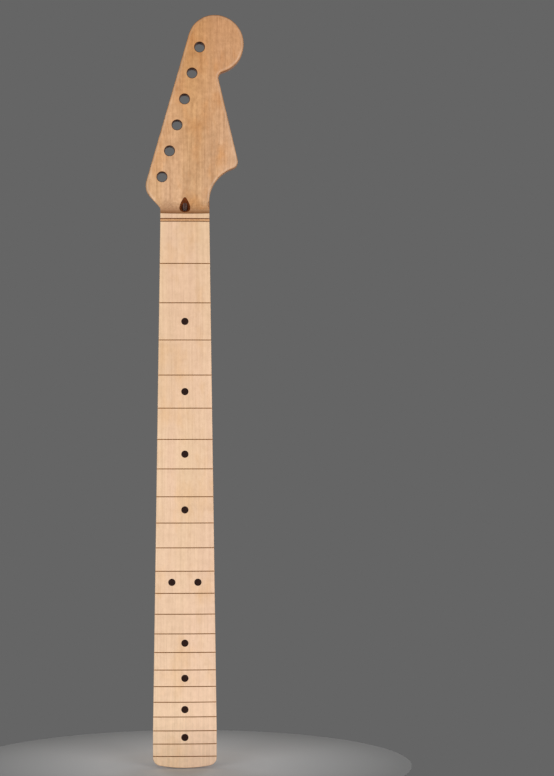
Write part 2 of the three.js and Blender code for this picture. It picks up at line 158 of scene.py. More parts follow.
tuner_edge = edge_line(tuner_edge_across, nut_z, tuner_edge_tilt)
wing_edge = edge_line(wing_edge_across, nut_z, wing_edge_tilt)
bass_slope = edge_line(-nut_half_width, nut_z + bass_slope_along, bass_slope_tilt)
bass_side = edge_line(-nut_half_width, nut_z, 0)


def headstock_arcs():
    """From the hollow below the treble wing, over the ball at the end, to the bass side's foot."""
    hollow = Vector((nut_half_width + hollow_radius, nut_z + hollow_along))
    tip = centre_beside(wing_edge, -wing_tip_radius, hollow, hollow_radius + wing_tip_radius, 1)
    ball = Vector((ball_across, nut_z + ball_along))
    throat = centre_beside(wing_edge, throat_radius, ball, ball_radius + throat_radius, -1)
    shoulder = centre_beside(tuner_edge, shoulder_radius, ball, ball_radius - shoulder_radius, 1)
    bass_corner = centre_between(tuner_edge, bass_slope, bass_corner_radius)
    foot = centre_between(bass_slope, bass_side, -bass_foot_radius)
    above_hollow = meet(hollow, hollow_radius, tip)
    below_ball = meet(ball, ball_radius, throat)
    above_ball = meet(ball, ball_radius, shoulder)
    return [
        arc(hollow, hollow - Vector((hollow_radius, 0)), above_hollow),
        arc(tip, above_hollow, touch(wing_edge, tip)),
        arc(throat, touch(wing_edge, throat), below_ball),
        arc(ball, below_ball, above_ball),
        arc(shoulder, above_ball, touch(tuner_edge, shoulder)),
        arc(bass_corner, touch(tuner_edge, bass_corner), touch(bass_slope, bass_corner)),
        arc(foot, touch(bass_slope, foot), touch(bass_side, foot)),
    ]


def heel_corner_z(end_z):
    """How high the centres of the heel's rounded corners lie."""
    return end_z + heel_end_radius - (heel_end_radius - heel_corner_radius) * math.sin(heel_corner_turn)


def heel_end_arcs(end_z):
    """The heel's end, from its bass corner to its treble corner."""
    middle = Vector((0, end_z + heel_end_radius))
    bass = Vector((-heel_corner_across, heel_corner_z(end_z)))
    treble = Vector((heel_corner_across, heel_corner_z(end_z)))
    bass_end = meet(middle, heel_end_radius, bass)
    treble_end = meet(middle, heel_end_radius, treble)
    side = Vector((heel_corner_radius, 0))
    return [
        arc(bass, bass - side, bass_end),
        arc(middle, bass_end, treble_end),
        arc(treble, treble_end, treble + side),
    ]


def neck_path(end_z):
    """The neck's outline as arcs and corners, with its heel end at a height."""
    shoulder_z = nut_z - nut_to_parallel_sides
    return [
        *heel_end_arcs(end_z),
        corner(heel_half_width, shoulder_z),
        corner(nut_half_width, nut_z),
        *headstock_arcs(),
        corner(-nut_half_width, nut_z),
        corner(-heel_half_width, shoulder_z),
    ]


def wall_round(path):
    """A path seen from the front, raised into a wall to measure from."""
    bm = bmesh.new()
    last = None
    for centre, start, turn in path:
        first = bm.verts.new((start.x, 0, start.y))
        if last:
            bm.edges.new((last, first))
        last = first
        if turn:
            steps = math.ceil(abs(turn) / arc_step)
            middle = (centre.x, 0, centre.y)
            spun = bmesh.ops.spin(bm, geom=[first], cent=middle, axis=(0, -1, 0), angle=turn, steps=steps)
            last = spun["geom_last"][0]
    bm.verts.ensure_lookup_table()
    bm.edges.new((last, bm.verts[0]))
    raised = bmesh.ops.extrude_edge_only(bm, edges=bm.edges[:])["geom"]
    far = [v for v in raised if isinstance(v, bmesh.types.BMVert)]
    bmesh.ops.translate(bm, verts=far, vec=(0, 2 * wall_reach, 0))
    bmesh.ops.translate(bm, verts=bm.verts[:], vec=(0, -wall_reach, 0))
    wall = BVHTree.FromBMesh(bm)
    bm.free()
    return wall


def half_width_at(distance):
    """Half the width of the straight sides, at a distance from the nut."""
    share = min(1, max(0, distance / nut_to_parallel_sides))
    return nut_half_width + share * (heel_half_width - nut_half_width)


def roll(depth, reach, fall):
    """How far a rounded edge has fallen at a depth inside the outline."""
    inside = min(1, max(0, 1 - depth / reach))
    return fall * (1 - math.sqrt(1 - inside**2))


def ease(low, high, value):
    """A smooth step from 0 at low to 1 at high."""
    share = min(1, max(0, (value - low) / (high - low)))
    return share * share * (3 - 2 * share)


def evenly(start, end, spacing):
    """Heights from start up to end, about one spacing apart, without the end."""
    count = max(1, round((end - start) / spacing))
    return [start + (end - start) * i / count for i in range(count)]


def skin(wall, columns, heights, front, back):
    """A closed skin between a front and a back surface, as wide as the outline at each height.
    Each point keeps its depth inside the outline, in millimetres, for the materials."""
    bm = bmesh.new()
    edge_depth = bm.verts.layers.float.new("edge_depth")
    bmesh.ops.create_grid(bm, x_segments=columns, y_segments=len(heights) - 1, size=1)
    made = bmesh.ops.extrude_face_region(bm, geom=bm.faces[:], use_keep_orig=True)["geom"]
    behind = {v for v in made if isinstance(v, bmesh.types.BMVert)}
    edges = []
    for z in heights:
        low = wall.ray_cast(Vector((-1, 0, z)), Vector((1, 0, 0)))[0].x
        high = wall.ray_cast(Vector((1, 0, z)), Vector((-1, 0, 0)))[0].x
        edges.append((low, high))
    for v in bm.verts:
        row = round((v.co.y + 1) / 2 * (len(heights) - 1))
        low, high = edges[row]
        z = heights[row]
        x = (low + high) / 2 + (high - low) / 2 * math.sin(v.co.x * math.pi / 2)
        depth = wall.find_nearest(Vector((x, 0, z)))[3]
        surface = back if v in behind else front
        v.co = Vector((x, surface(x, z, depth), z))
        v[edge_depth] = depth / mm
    bmesh.ops.recalc_face_normals(bm, faces=bm.faces[:])
    return bm


def piece(name, bm, *materials):
    """The finished object of a bmesh, shaded smooth but for its creases."""
    mesh = bpy.data.meshes.new(name)
    bm.to_mesh(mesh)
    bm.free()
    made = bpy.data.objects.new(name, mesh)
    bpy.context.scene.collection.objects.link(made)
    for material in materials:
        mesh.materials.append(material)
    smooth(made)
    return made


def smooth(made):
    """Merges the points that a cut leaves doubled, and shades smooth all but the creases."""
    bm = bmesh.new()
    bm.from_mesh(made.data)
    bmesh.ops.remove_doubles(bm, verts=bm.verts[:], dist=doubled_points)
    for face in bm.faces:
        face.smooth = True
    for edge in bm.edges:
        edge.smooth = edge.is_manifold and edge.calc_face_angle() < crease_angle
    bm.to_mesh(made.data)
    bm.free()


def cut(made, cutters, material):
    """Cuts a piece with solids that stand clear of each other. The cut faces take the material."""
    joined = bmesh.new()
    for cutter in cutters:
        mesh = bpy.data.meshes.new("cutter")
        cutter.to_mesh(mesh)
        cutter.free()
        joined.from_mesh(mesh)
        bpy.data.meshes.remove(mesh)
    tool = piece("cutter", joined, material)
    boolean = made.modifiers.new("cut", "BOOLEAN")
    boolean.object = tool
    boolean.operation = "DIFFERENCE"
    boolean.solver = "EXACT"
    boolean.material_mode = "TRANSFER"
    result = made.evaluated_get(bpy.context.evaluated_depsgraph_get())
    mesh = bpy.data.meshes.new_from_object(result)
    made.modifiers.clear()
    made.data = mesh
    bpy.data.objects.remove(tool)
    smooth(made)


def turned(profile, sides, start, axis, bored=False):
    """A lathe-turned solid. The profile's points are (along the axis, radius), end to end, and
    go round again to the first where the solid is bored."""
    bm = bmesh.new()
    points = [bm.verts.new((radius, 0, along)) for along, radius in profile]
    ends = points[1:] + points[:1] if bored else points[1:]
    edges = [bm.edges.new(pair) for pair in zip(points, ends)]
    bmesh.ops.spin(
        bm,
        geom=points + edges,
        cent=(0, 0, 0),
        axis=(0, 0, 1),
        angle=2 * math.pi,
        steps=sides,
        use_merge=True,
    )
    bmesh.ops.remove_doubles(bm, verts=bm.verts[:], dist=0.001 * mm)
    turn = Vector((0, 0, 1)).rotation_difference(Vector(axis)).to_matrix().to_4x4()
    bmesh.ops.transform(bm, matrix=Matrix.Translation(start) @ turn, verts=bm.verts[:])
    bmesh.ops.recalc_face_normals(bm, faces=bm.faces[:])
    return bm


def bar(radius, low, high, start, axis, sides=48):
    """A plain round bar between two distances along an axis."""
    return turned([(low, 0), (low, radius), (high, radius), (high, 0)], sides, start, axis)


def node(tree, kind, inputs=None, **settings):
    """A shader node with its settings and inputs. An input is a value or another node's output."""
    made = tree.nodes.new("ShaderNode" + kind)
    for key, value in settings.items():
        setattr(made, key, value)
    for name, value in (inputs or {}).items():
        if isinstance(value, bpy.types.NodeSocket):
            tree.links.new(value, made.inputs[name])
        else:
            made.inputs[name].default_value = value
    return made


def calculate(tree, operation, *values):
    """The result of a Math node."""
    return node(tree, "Math", dict(enumerate(values)), operation=operation).outputs[0]


def run_between(tree, value, low, high, first=0.0, last=1.0):
    """Goes from a first value to a last one while the given value goes from low to high."""
    inputs = {"Value": value, "From Min": low, "From Max": high, "To Min": first, "To Max": last}
    return node(tree, "MapRange", inputs).outputs[0]


def colour(red, green, blue):
    """A screen colour of 0 to 255 as the shader's linear colour."""
    screen = [level / 255 for level in (red, green, blue)]
    return (*[s / 12.92 if s < 0.04045 else ((s + 0.055) / 1.055) ** 2.4 for s in screen], 1)


def new_material(name):
    """A material with its node tree and the shader in it."""
    material = bpy.data.materials.new(name)
    material.use_nodes = True
    tree = material.node_tree
    return material, tree, tree.nodes["Principled BSDF"]


def stretched_noise(tree, place, scale, detail=3, roughness=0.5, offset=0.0):
    """Noise with its own size along each axis: scale is features per metre as (x, y, z)."""
    space = node(tree, "Mapping", {"Vector": place, "Location": (offset,) * 3, "Scale": scale})
    inputs = {"Vector": space.outputs[0], "Scale": 1, "Detail": detail, "Roughness": roughness}
    return node(tree, "TexNoise", inputs).outputs[0]


def ramp(tree, value, *stops):
    """Straight runs between grey or colour stops, each a place from 0 to 1 and a value."""
    made = node(tree, "ValToRGB", {"Fac": value})
    points = made.color_ramp.elements
    while len(points) < len(stops):
        points.new(0.5)
    for point, (place, shade) in zip(points, stops):
        point.position = place
        point.color = shade if isinstance(shade, tuple) else (shade, shade, shade, 1)
    return made.outputs[0]


def blend(tree, how, share, first, second):
    """Two colours mixed in a way that has a name, such as MIX or MULTIPLY."""
    made = node(tree, "Mix", data_type="RGBA", blend_type=how)
    factor, colour_a, colour_b = made.inputs[0], made.inputs[6], made.inputs[7]
    for socket, value in ((factor, share), (colour_a, first), (colour_b, second)):
        if isinstance(value, bpy.types.NodeSocket):
            tree.links.new(value, socket)
        else:
            socket.default_value = value
    return made.outputs[2]


def growth_rings(tree, place, pith, spacing):
    """How far a point lies from a wandering pith line, and noise that runs round that line."""
    leaning = {"Vector": place, "Location": (-pith[0], -pith[1], 0)}
    leaning |= {"Rotation": (0.006, 0.012, 0), "Scale": (1, 1, 0)}
    across = node(tree, "Mapping", leaning).outputs[0]
    from_pith = node(tree, "VectorMath", {0: across}, operation="LENGTH").outputs["Value"]
    wander = stretched_noise(tree, place, (26, 26, 5), 2, 0.5, 13.0)
    waver = stretched_noise(tree, place, (90, 90, 22), 2, 0.5, 17.0)
    radius = calculate(tree, "MULTIPLY_ADD", wander, 16 * mm, from_pith)
    radius = calculate(tree, "MULTIPLY_ADD", waver, 2.2 * mm, radius)
    inputs = {"W": radius, "Scale": 1 / spacing, "Detail": 3.0, "Roughness": 0.62}
    return radius, node(tree, "TexNoise", inputs, noise_dimensions="1D").outputs[0]


def maple(
    name,
    tones,
    tint,
    tint_heights,
    ring_tone,
    side_painted_shade,
    endgrain_and_painted_shade,
    pith,
    ring_spacing,
    contrast,
    heel_contrast,
    figure,
    rim_highlight,
):
    """Sanded maple under a thin finish. The tone turns slowly from the first of three on the bass
    side to the second, spotted with the third, and a tint deepens between two heights. The growth
    rings run round a pith line at (x, y), the fibres run along the neck and weaken by a share
    towards the heel. The sides are darkened as painted shade, and the faces turned up or down are
    darker, partly as end grain and partly as painted shade. Just inside the headstock's outline a
    lighter rim is a painted highlight."""
    material, tree, shader = new_material(name)
    coordinates = node(tree, "TexCoord").outputs
    place = coordinates["Object"]
    spot = node(tree, "SeparateXYZ", {0: place}).outputs
    height = spot["Z"]
    facing = node(tree, "SeparateXYZ", {0: coordinates["Normal"]}).outputs
    level = calculate(tree, "ABSOLUTE", facing["Y"])

    # The slow changes of tone.
    drift = stretched_noise(tree, place, (38, 38, 4), 2, 0.5, 5.0)
    hue = calculate(tree, "MULTIPLY_ADD", spot["X"], 5.0, drift)
    base = blend(tree, "MIX", ramp(tree, hue, (0.3, 0.0), (0.7, 1.0)), tones[0], tones[1])
    patches = stretched_noise(tree, place, (60, 60, 26), 3, 0.6, 7.0)
    base = blend(tree, "MIX", ramp(tree, patches, (0.5, 0.0), (0.74, figure)), base, tones[2])
    base = blend(tree, "MULTIPLY", run_between(tree, height, *tint_heights), base, tint)

    # The figure: ring lines, ripples across the fibres, mottle, streaks, and the grain itself.
    radius, rings = growth_rings(tree, place, pith, ring_spacing)
    line = ramp(tree, rings, (0.22, 0.55 * contrast), (0.28, 0.25 * contrast), (0.34, 0.0))
    base = blend(tree, "MIX", line, base, ring_tone)
    round_pith = node(tree, "CombineXYZ", {"X": radius, "Z": height}).outputs[0]
    ripple = stretched_noise(tree, place, (60, 60, 190), 2, 0.5, 11.0)
    mottle = stretched_noise(tree, place, (420, 420, 260), 4, 0.65, 19.0)
    streak = stretched_noise(tree, place, (420, 130, 8), 4, 0.6)
    grain = stretched_noise(tree, round_pith, (1300, 1, 12), 4, 0.6, 23.0)
    fibre = stretched_noise(tree, place, (1300, 700, 24), 4, 0.65, 3.0)
    strength = run_between(tree, height, heel_end_z, nut_z, heel_contrast * contrast, contrast)
    for noise, low in ((ripple, 0.9), (mottle, 0.82), (streak, 0.79), (grain, 0.85), (fibre, 0.85)):
        warm = ramp(tree, noise, (0.3, (low, low**1.15, low**1.35, 1)), (0.59, 1.0))
        base = blend(tree, "MULTIPLY", strength, base, warm)

    # Painted shade on the sides and on the faces turned up or down, which are partly darker end grain,
    # and a painted highlight along the rim of the headstock.
    # Painted shade: faces turned away from the front and the back are darkened.
    base = blend(tree, "MULTIPLY", 1.0, base, ramp(tree, level, (0.2, side_painted_shade), (0.85, 1.0)))
    # Faces turned up or down are darker, partly as end grain and partly as painted shade on the slope.
    endgrain_shade_mask = ramp(tree, calculate(tree, "ABSOLUTE", facing["Z"]), (0.3, 0.0), (1.0, 1.0))
    base = blend(tree, "MULTIPLY", endgrain_shade_mask, base, endgrain_and_painted_shade)
    # Painted highlight: a lighter band about one to one and a half millimetres inside the headstock's
    # outline.
    edge_depth = node(tree, "Attribute", attribute_name="edge_depth").outputs["Fac"]
    painted_highlight = ramp(tree, calculate(tree, "MULTIPLY", edge_depth, 0.1), *rim_highlight)
    on_head = run_between(tree, height, nut_z + 4 * mm, nut_z + 20 * mm)
    tree.links.new(blend(tree, "SCREEN", on_head, base, painted_highlight), shader.inputs["Base Color"])

    # The thin finish, which the sanding leaves matt on all that is tilted.
    rough = ramp(tree, streak, (0.3, 0.42), (0.7, 0.36))
    sanded = ramp(tree, level, (0.72, 0.98), (0.95, 0.0))
    tree.links.new(blend(tree, "LIGHTEN", 1.0, rough, sanded), shader.inputs["Roughness"])
    shader.inputs["Specular IOR Level"].default_value = 0.25
    bump = node(tree, "Bump", {"Height": fibre, "Strength": 0.2, "Distance": 0.04 * mm})
    tree.links.new(bump.outputs[0], shader.inputs["Normal"])
    return material


def drilled_wood(name, light, dark):
    """The torn, scorched wall that a drill or a saw leaves, mottled between a light and a dark colour.
    Where the colours are dark they also paint the shade inside a hole or a slot.
    """
    material, tree, shader = new_material(name)
    place = node(tree, "TexCoord").outputs["Object"]
    torn = stretched_noise(tree, place, (900, 900, 500), 4, 0.65)
    tree.links.new(ramp(tree, torn, (0.3, dark), (0.7, light)), shader.inputs["Base Color"])
    shader.inputs["Roughness"].default_value = 0.85
    shader.inputs["Specular IOR Level"].default_value = 0.1
    bump = node(tree, "Bump", {"Height": torn, "Strength": 0.5, "Distance": 0.15 * mm})
    tree.links.new(bump.outputs[0], shader.inputs["Normal"])
    return material


shaft_maple = maple(
    "shaft_maple",
    tones=(colour(242, 201, 152), colour(242, 204, 170), colour(234, 175, 113)),
    tint=(0.815, 0.63, 0.46, 1),
    tint_heights=(nut_z - 90 * mm, nut_z + 170 * mm),
    ring_tone=colour(182, 124, 80),
    side_painted_shade=(0.69, 0.63, 0.59, 1),
    endgrain_and_painted_shade=(0.74, 0.6, 0.46, 1),
    pith=(4 * mm, -105 * mm),
    ring_spacing=3 * mm,
    contrast=0.95,
    heel_contrast=0.6,
    figure=0.8,
    rim_highlight=((0.05, 0.0), (0.1, (0.06, 0.055, 0.05, 1)), (0.14, (0.06, 0.055, 0.05, 1)), (0.25, 0.0)),
)
# Partly scorched wall and partly painted shade: the dark walls and chamfers of the tuner holes and the
# rod's ways.
scorch_and_shade_maple = drilled_wood("scorch_and_shade_maple", colour(98, 54, 28), colour(52, 25, 12))
pilot_maple = drilled_wood("pilot_maple", colour(146, 84, 46), colour(104, 52, 26))

side_band = 0.15 * mm
heel_sweep_from_nut = nut_to_heel_end - 113.9 * mm
heel_sweep_radius = 60 * mm
heel_sweep_run = 38 * mm
heel_flare_share = 0.35
head_sweep_from_nut = 23.2 * mm
head_sweep_radius = 80 * mm
head_sweep_run = 58.5 * mm
carve_end_softening = 2 * mm
bass_flare_share, bass_flare_from_nut = 1.3, 6 * mm
treble_flare_share, treble_flare_from_nut = 0.72, 16 * mm
flare_softening = 3 * mm
shaft_fullness, head_fullness = 2.15, 1.6
first_fret_thickness = 21 * mm
twelfth_fret_thickness = 23 * mm
slope_radius = 17 * mm
slope_run = math.sqrt(slope_radius**2 - (slope_radius - (face_y - crown_y)) ** 2)
slope_foot_z = nut_z + board_past_nut
slope_glue_run = math.sqrt(slope_radius**2 - (slope_radius - (face_y - glue_y)) ** 2)
slope_glue_z = slope_foot_z + slope_run - slope_glue_run
bass_softening, treble_softening, heel_softening = 2.4 * mm, 1 * mm, 0.8 * mm
heel_softening_from_nut = 100 * mm
head_edge_reach, head_edge_fall = 3.2 * mm, 1.5 * mm
front_edge_fade = 16 * mm
back_edge_fade = -4 * mm, 22 * mm  # heights past the nut
heel_edge_radius = 0.7 * mm
heel_edge_fade = 60 * mm, 90 * mm  # heights from the heel's end


def sweep(radius, run):
    """The rise of a circular sweep after a run along the neck."""
    return radius - math.sqrt(radius**2 - min(max(0, run), radius) ** 2)


def crest_y(distance):
    """Where the middle of the carved back lies, at a distance from the nut."""
    first, twelfth = fret_distance(1), fret_distance(12)
    share = (distance - first) / (twelfth - first)
    thickness = first_fret_thickness + share * (twelfth_fret_thickness - first_fret_thickness)
    head = sweep(head_sweep_radius, min(head_sweep_run, head_sweep_from_nut - distance))
    heel = sweep(heel_sweep_radius, min(heel_sweep_run, distance - heel_sweep_from_nut))
    return crown_y + thickness + head + heel


def flare(start, value):
    """Rises from 0 at a start, softly at first and then as fast as the value."""
    past = max(0, value - start)
    return past**2 / (past + flare_softening)


def carved_y(x, distance):
    """The carved hump of the back, which widens into the headstock and the heel."""
    half = half_width_at(distance) + side_band
    half += heel_flare_share * max(0, distance - heel_sweep_from_nut)
    if x > 0:
        half += treble_flare_share * flare(treble_flare_from_nut, -distance)
    else:
        half += bass_flare_share * flare(bass_flare_from_nut, -distance)
    head_share = ease(-head_sweep_from_nut, 0, -distance)
    fullness = shaft_fullness + (head_fullness - shaft_fullness) * head_share
    share = min(1, abs(x) / half)
    return glue_y + (crest_y(distance) - glue_y) * (1 - share**fullness) ** (1 / fullness)


def softened(carved, flat, reach):
    """The nearer of two surfaces, with the edge where they meet sanded off."""
    overlap = max(0, 1 - abs(carved - flat) / reach)
    return min(carved, flat) - overlap**2 * reach / 4


def slope_y(z):
    """How far back the slope and the headstock face lie, at a height above the board's end."""
    run = max(0, slope_foot_z + slope_run - z)
    return face_y - slope_radius + math.sqrt(slope_radius**2 - min(run, slope_run) ** 2)


def shaft_front(x, z, depth):
    """The glue face for the board, then the slope and the rounded headstock face."""
    if z < slope_glue_z:
        return glue_y
    fall = head_edge_fall * ease(slope_glue_z, slope_glue_z + front_edge_fade, z)
    return slope_y(z) + roll(depth, head_edge_reach, fall)


def shaft_back(x, z, depth):
    """The flat back of the heel and the headstock, with the carved hump between them."""
    distance = nut_z - z
    head_share = ease(nut_z + back_edge_fade[0], nut_z + back_edge_fade[1], z)
    heel_share = 1 - ease(heel_end_z + heel_edge_fade[0], heel_end_z + heel_edge_fade[1], z)
    edge = roll(depth, head_edge_reach, head_edge_fall * head_share)
    edge += roll(depth, heel_edge_radius, heel_edge_radius * heel_share)
    carve_start = head_sweep_from_nut - head_sweep_run + carve_end_softening
    carve_end = heel_sweep_from_nut + heel_sweep_run - carve_end_softening
    if not carve_start < distance < carve_end:
        return -edge
    if distance > heel_softening_from_nut:
        reach = heel_softening
    else:
        reach = bass_softening if x < 0 else treble_softening
    return softened(carved_y(x, distance), 0, reach) - edge


def heel_rows(end_z):
    """Heights close together where the outline rounds the heel's end and corners."""
    end_turns = [math.radians(a) for a in (0.35, *range(1, 10))]
    corner_turns = [heel_corner_turn - math.radians(a) for a in range(0, 80, 6)]
    rows = [end_z + heel_end_radius * (1 - math.cos(turn)) for turn in end_turns]
    return rows + [heel_corner_z(end_z) - heel_corner_radius * math.sin(turn) for turn in corner_turns]


def shaft_heights():
    """Where the shaft's sections lie: close where its shape turns, and wide apart between."""
    ball_z = nut_z + ball_along
    heights = heel_rows(heel_end_z)
    heights += evenly(heights[-1] + 1 * mm, 30 * mm, 2 * mm)
    heights += evenly(30 * mm, heel_end_z + 116 * mm, 0.8 * mm)
    heights += evenly(heel_end_z + 116 * mm, nut_z - 26 * mm, 5 * mm)
    heights += evenly(nut_z - 26 * mm, slope_glue_z, 0.8 * mm)
    heights += evenly(slope_glue_z, ball_z, 0.55 * mm)
    ball_turns = [math.radians(a) for a in (*range(0, 90, 2), 89.2)]
    return heights + [ball_z + ball_radius * math.sin(turn) for turn in ball_turns]


shaft_wall = wall_round(neck_path(heel_end_z))
neck_shaft = piece(
    "neck_shaft_wood",
    skin(shaft_wall, 72, shaft_heights(), shaft_front, shaft_back),
    shaft_maple,
    scorch_and_shade_maple,
)

overrun = 2 * mm  # how far each cutter reaches past the wood
tuner_count = 6
tuner_hole_radius = 4.365 * mm
tuner_spacing = 23.7 * mm
tuner_inset = 12.2 * mm
first_tuner_along = 40.1 * mm
screw_hole_radius = 1.6 * mm
screw_hole_depth = 16 * mm
tuner_hole_chamfer = 0.45 * mm
screw_hole_chamfer = 0.25 * mm


def drill(start, axis, length, radius, chamfer, through=False, sides=48):
    """A drill's cut from a surface inwards, with a slightly countersunk edge at each mouth."""
    wide = radius + chamfer + overrun
    profile = [(-overrun, 0), (-overrun, wide), (chamfer, radius)]
    if through:
        profile += [(length - chamfer, radius), (length + overrun, wide), (length + overrun, 0)]
    else:
        profile += [(length, radius), (length + radius / 2, 0)]
    return turned(profile, sides, start, axis)


edge_point, edge_up, edge_right = tuner_edge
tuner_row = edge_point + tuner_inset * edge_right
tuner_row += (nut_z + first_tuner_along - tuner_row.y) / edge_up.y * edge_up
holes = []
for i in range(tuner_count):
    x, z = tuner_row + i * tuner_spacing * edge_up
    front = Vector((x, face_y, z))
    holes.append(drill(front, (0, 1, 0), -face_y, tuner_hole_radius, tuner_hole_chamfer, through=True))
cut(neck_shaft, holes, scorch_and_shade_maple)
holes = []
for x in (-screw_span_across / 2, screw_span_across / 2):
    for z in (-screw_span_along / 2, screw_span_along / 2):
        back = Vector((x, 0, z))
        hole = drill(back, (0, -1, 0), screw_hole_depth, screw_hole_radius, screw_hole_chamfer, sides=24)
        holes.append(hole)
cut(neck_shaft, holes, pilot_maple)

# The rod's way through the shaft: the adjuster's slanted hole, the channel from the back, the
# curved tunnel at its floor and the pocket of the anchor.
access_slant = math.radians(7.5)
access_below_crown = 9.2 * mm
plug_radius = 4.75 * mm
glue_gap = 0.04 * mm
seat_gap = 0.3 * mm
nut_start = 0.8 * mm
nut_length = 12 * mm
nut_socket_depth = 5 * mm
washer_start = nut_start + nut_length + seat_gap
washer_thickness = 1.6 * mm
seat_run = washer_start + washer_thickness + seat_gap
plug_length = board_past_nut + 2 * slope_radius
to_mouth = Vector((0, -math.sin(access_slant), math.cos(access_slant)))
rod_radius = 2.38 * mm
rod_straight_run = 20 * mm
rod_bow_run = 45 * mm
rod_bow_below_crown = 17 * mm
rod_rise_run = 110 * mm
rod_steps = 60
anchor_rod_below_crown = 12.4 * mm
rod_past_anchor = 3 * mm
anchor_radius = 4.75 * mm
anchor_length = 16.4 * mm
anchor_z = heel_end_z + 65.9 * mm
channel_half_width = 3.175 * mm
channel_top_z = nut_z - 41.2 * mm - channel_half_width


def access_point(run):
    """A point on the adjuster's slanted axis, a distance from the nut line towards the heel."""
    return Vector((0, crown_y + access_below_crown, nut_z)) - run * to_mouth


def access_hole():
    """The slanted hole from the slope down to the washer's seat."""
    return bar(plug_radius + glue_gap, 0, seat_run + plug_length, access_point(seat_run), to_mouth, 64)


def rod_line():
    """Points along the middle of the rod: straight out of the adjuster, then bowed to the anchor."""
    start = access_point(nut_start + nut_socket_depth + seat_gap)
    bend = start - rod_straight_run * to_mouth
    end = Vector((0, crown_y + anchor_rod_below_crown, anchor_z - rod_past_anchor))
    deep = Vector((0, crown_y + rod_bow_below_crown, end.z + rod_rise_run))
    handles = (bend, bend - rod_bow_run * to_mouth, deep, end)
    points = [start]
    for i in range(rod_steps + 1):
        t = i / rod_steps
        weights = ((1 - t) ** 3, 3 * t * (1 - t) ** 2, 3 * t * t * (1 - t), t**3)
        points.append(sum((w * h for w, h in zip(weights, handles)), Vector()))
    return points


def rod_y(z):
    """How far back the middle of the rod lies at a height."""
    for upper, lower in zip(rod_points, rod_points[1:]):
        if z >= lower.z:
            return lower.y + (upper.y - lower.y) * (z - lower.z) / (upper.z - lower.z)
    return rod_points[-1].y


def along_rod(radius):
    """A round bar along the rod's line."""
    curve = bpy.data.curves.new("rod_line", "CURVE")
    curve.dimensions = "3D"
    curve.bevel_depth = radius
    curve.bevel_resolution = 6
    curve.use_fill_caps = True
    spline = curve.splines.new("POLY")
    spline.points.add(len(rod_points) - 1)
    for point, place in zip(spline.points, rod_points):
        point.co = (*place, 1)
    swept = bpy.data.objects.new("rod_line", curve)
    bpy.context.scene.collection.objects.link(swept)
    mesh = bpy.data.meshes.new_from_object(swept.evaluated_get(bpy.context.evaluated_depsgraph_get()))
    bpy.data.objects.remove(swept)
    bm = bmesh.new()
    bm.from_mesh(mesh)
    bmesh.ops.remove_doubles(bm, verts=bm.verts[:], dist=0.001 * mm)
    bmesh.ops.recalc_face_normals(bm, faces=bm.faces[:])
    return bm


def channel_path(inset):
    """The rear channel seen from the front, square at the anchor and round at its top."""
    half = channel_half_width - inset
    top = Vector((0, channel_top_z))
    return [corner(half, anchor_z), (top, top + Vector((half, 0)), math.pi), corner(-half, anchor_z)]


def channel_heights(inset):
    """Where the channel's sections lie: far apart along it and close round its top."""
    top_radius = channel_half_width - inset
    heights = evenly(anchor_z + 0.01 * mm, channel_top_z, 2.5 * mm)
    top_turns = [math.radians(a) for a in (*range(0, 90, 9), 88.5)]
    return heights + [channel_top_z + top_radius * math.sin(turn) for turn in top_turns]


def channel_floor(x, z, depth):
    """The channel goes as deep as the rod's middle."""
    return rod_y(z)


def channel_mouth(x, z, depth):
    """The channel's cutter stands proud of the back."""
    return overrun


def anchor_hole(clearance):
    """A round cut from the back of the heel, with a clearance round and under the anchor."""
    length = anchor_length + seat_gap + clearance
    return bar(anchor_radius + clearance, -overrun, length, (0, 0, anchor_z), (0, -1, 0))


rod_points = rod_line()
channel = skin(wall_round(channel_path(0)), 12, channel_heights(0), channel_floor, channel_mouth)
for way in (access_hole(), channel, along_rod(rod_radius + seat_gap), anchor_hole(seat_gap)):
    cut(neck_shaft, [way], scorch_and_shade_maple)
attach(neck_shaft, "neck")
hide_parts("neck_shaft")


# Truss rod. A steel rod with a threaded end, bowed towards the back in its tunnel, with the
# washer that its round nut draws against. The nut turns on a key in its hex socket.

def steel(name, tone, mark_scale):
    """Mill-finished steel with fine turning marks, a little oxidised."""
    material, tree, shader = new_material(name)
    place = node(tree, "TexCoord").outputs["Object"]
    marks = stretched_noise(tree, place, mark_scale, 3, 0.6)
    stain = stretched_noise(tree, place, (350, 350, 350), 3, 0.6, 4.0)
    light = tuple(min(1.0, c * 1.25) for c in tone[:3]) + (1,)
    dull = tuple(c * 0.6 for c in tone[:3]) + (1,)
    tree.links.new(ramp(tree, stain, (0.35, dull), (0.65, light)), shader.inputs["Base Color"])
    tree.links.new(ramp(tree, marks, (0.3, 0.3), (0.7, 0.55)), shader.inputs["Roughness"])
    shader.inputs["Metallic"].default_value = 1.0
    bump = node(tree, "Bump", {"Height": marks, "Strength": 0.3, "Distance": 0.03 * mm})
    tree.links.new(bump.outputs[0], shader.inputs["Normal"])
    return material


bright_steel = steel("bright_steel", colour(150, 147, 142), (3000, 3000, 200))
rod = piece("truss_rod_bar", along_rod(rod_radius), bright_steel)
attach(rod, "neck")
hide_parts("truss_rod")

washer_radius = 4.6 * mm
washer_bore = rod_radius + seat_gap
washer_chamfer = 0.3 * mm


def chamfered_ring(bore, radius, chamfer, length):
    """The section of a bored round piece whose outer edges are broken."""
    return [
        (0, bore),
        (0, radius - chamfer),
        (chamfer, radius),
        (length - chamfer, radius),
        (length, radius - chamfer),
        (length, bore),
    ]


washer_profile = chamfered_ring(washer_bore, washer_radius, washer_chamfer, washer_thickness)
washer = piece(
    "rod_washer",
    turned(washer_profile, 48, access_point(washer_start), -to_mouth, bored=True),
    bright_steel,
)
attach(washer, "neck")
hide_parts("truss_rod_washer")

